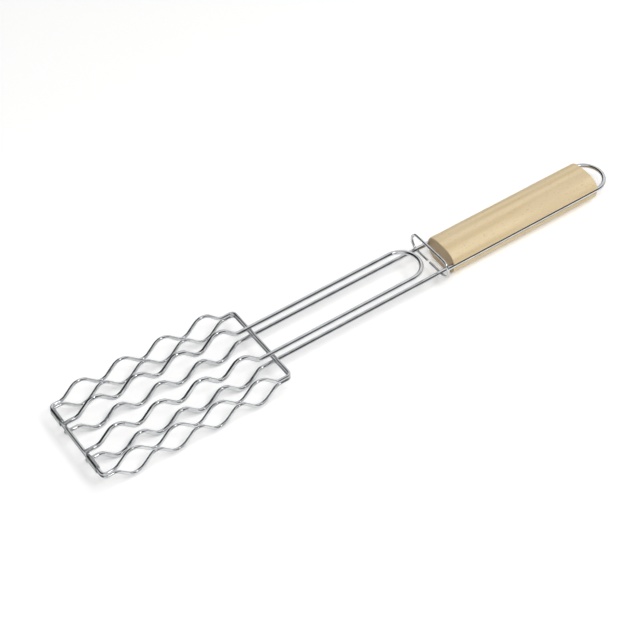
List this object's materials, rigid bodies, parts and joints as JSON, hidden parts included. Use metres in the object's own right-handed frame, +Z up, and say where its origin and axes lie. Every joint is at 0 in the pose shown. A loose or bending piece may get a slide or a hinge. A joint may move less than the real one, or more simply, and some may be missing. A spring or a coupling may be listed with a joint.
{
  "type": "sausage grilling basket",
  "caption": "Long-handled grilling basket: wavy wire grates hinged at the front hold sausages, and a sliding wire ring locks them before the wooden grip.",
  "frame": {"origin": "middle of the basket's length and width, on the ground that the lower waves stand on", "axes": "+X from the hinge to the hanging loop, +Y to the left, +Z up"},
  "size_m": [0.5578, 0.092, 0.0402],
  "materials": {
    "plated_wire": "bright plated",
    "clip_sheet": "satin",
    "beech": "sanded, unvarnished"
  },
  "bodies": {
    "lower_grate": {"lower_front_bar": "plated_wire", "lower_rear_bar": "plated_wire", "lower_left_rail": "plated_wire", "lower_right_rail": "plated_wire", "lower_left_rod": "plated_wire", "lower_right_rod": "plated_wire", "lower_left_stem": "plated_wire", "lower_right_stem": "plated_wire", "hanging_loop": "plated_wire", "wooden_grip": "beech"},
    "hinge_clips": {"left_hinge_clip": "clip_sheet", "right_hinge_clip": "clip_sheet"},
    "upper_grate": {"upper_front_bar": "plated_wire", "upper_rear_bar": "plated_wire", "upper_left_rail": "plated_wire", "upper_right_rail": "plated_wire", "upper_left_rod": "plated_wire", "upper_right_rod": "plated_wire", "upper_left_stem": "plated_wire", "upper_right_stem": "plated_wire", "upper_loop": "plated_wire"},
    "locking_ring": {"locking_ring": "plated_wire"}
  },
  "joints": [
    {"name": "clips_on_lower_bar", "type": "hinge", "parent": "lower_grate", "child": "hinge_clips", "pos_m": [-0.27666, 0, 0.01813], "axis": [0, -1, 0], "range_deg": [0, 90]},
    {"name": "upper_grate_opens", "type": "hinge", "parent": "hinge_clips", "child": "upper_grate", "pos_m": [-0.27666, 0, 0.02213], "axis": [0, -1, 0], "range_deg": [0, 90]},
    {"name": "ring_slides", "type": "slide", "parent": "lower_grate", "child": "locking_ring", "axis": [1, 0, 0], "range_m": [-0.1751, 0.0105]}
  ]
}
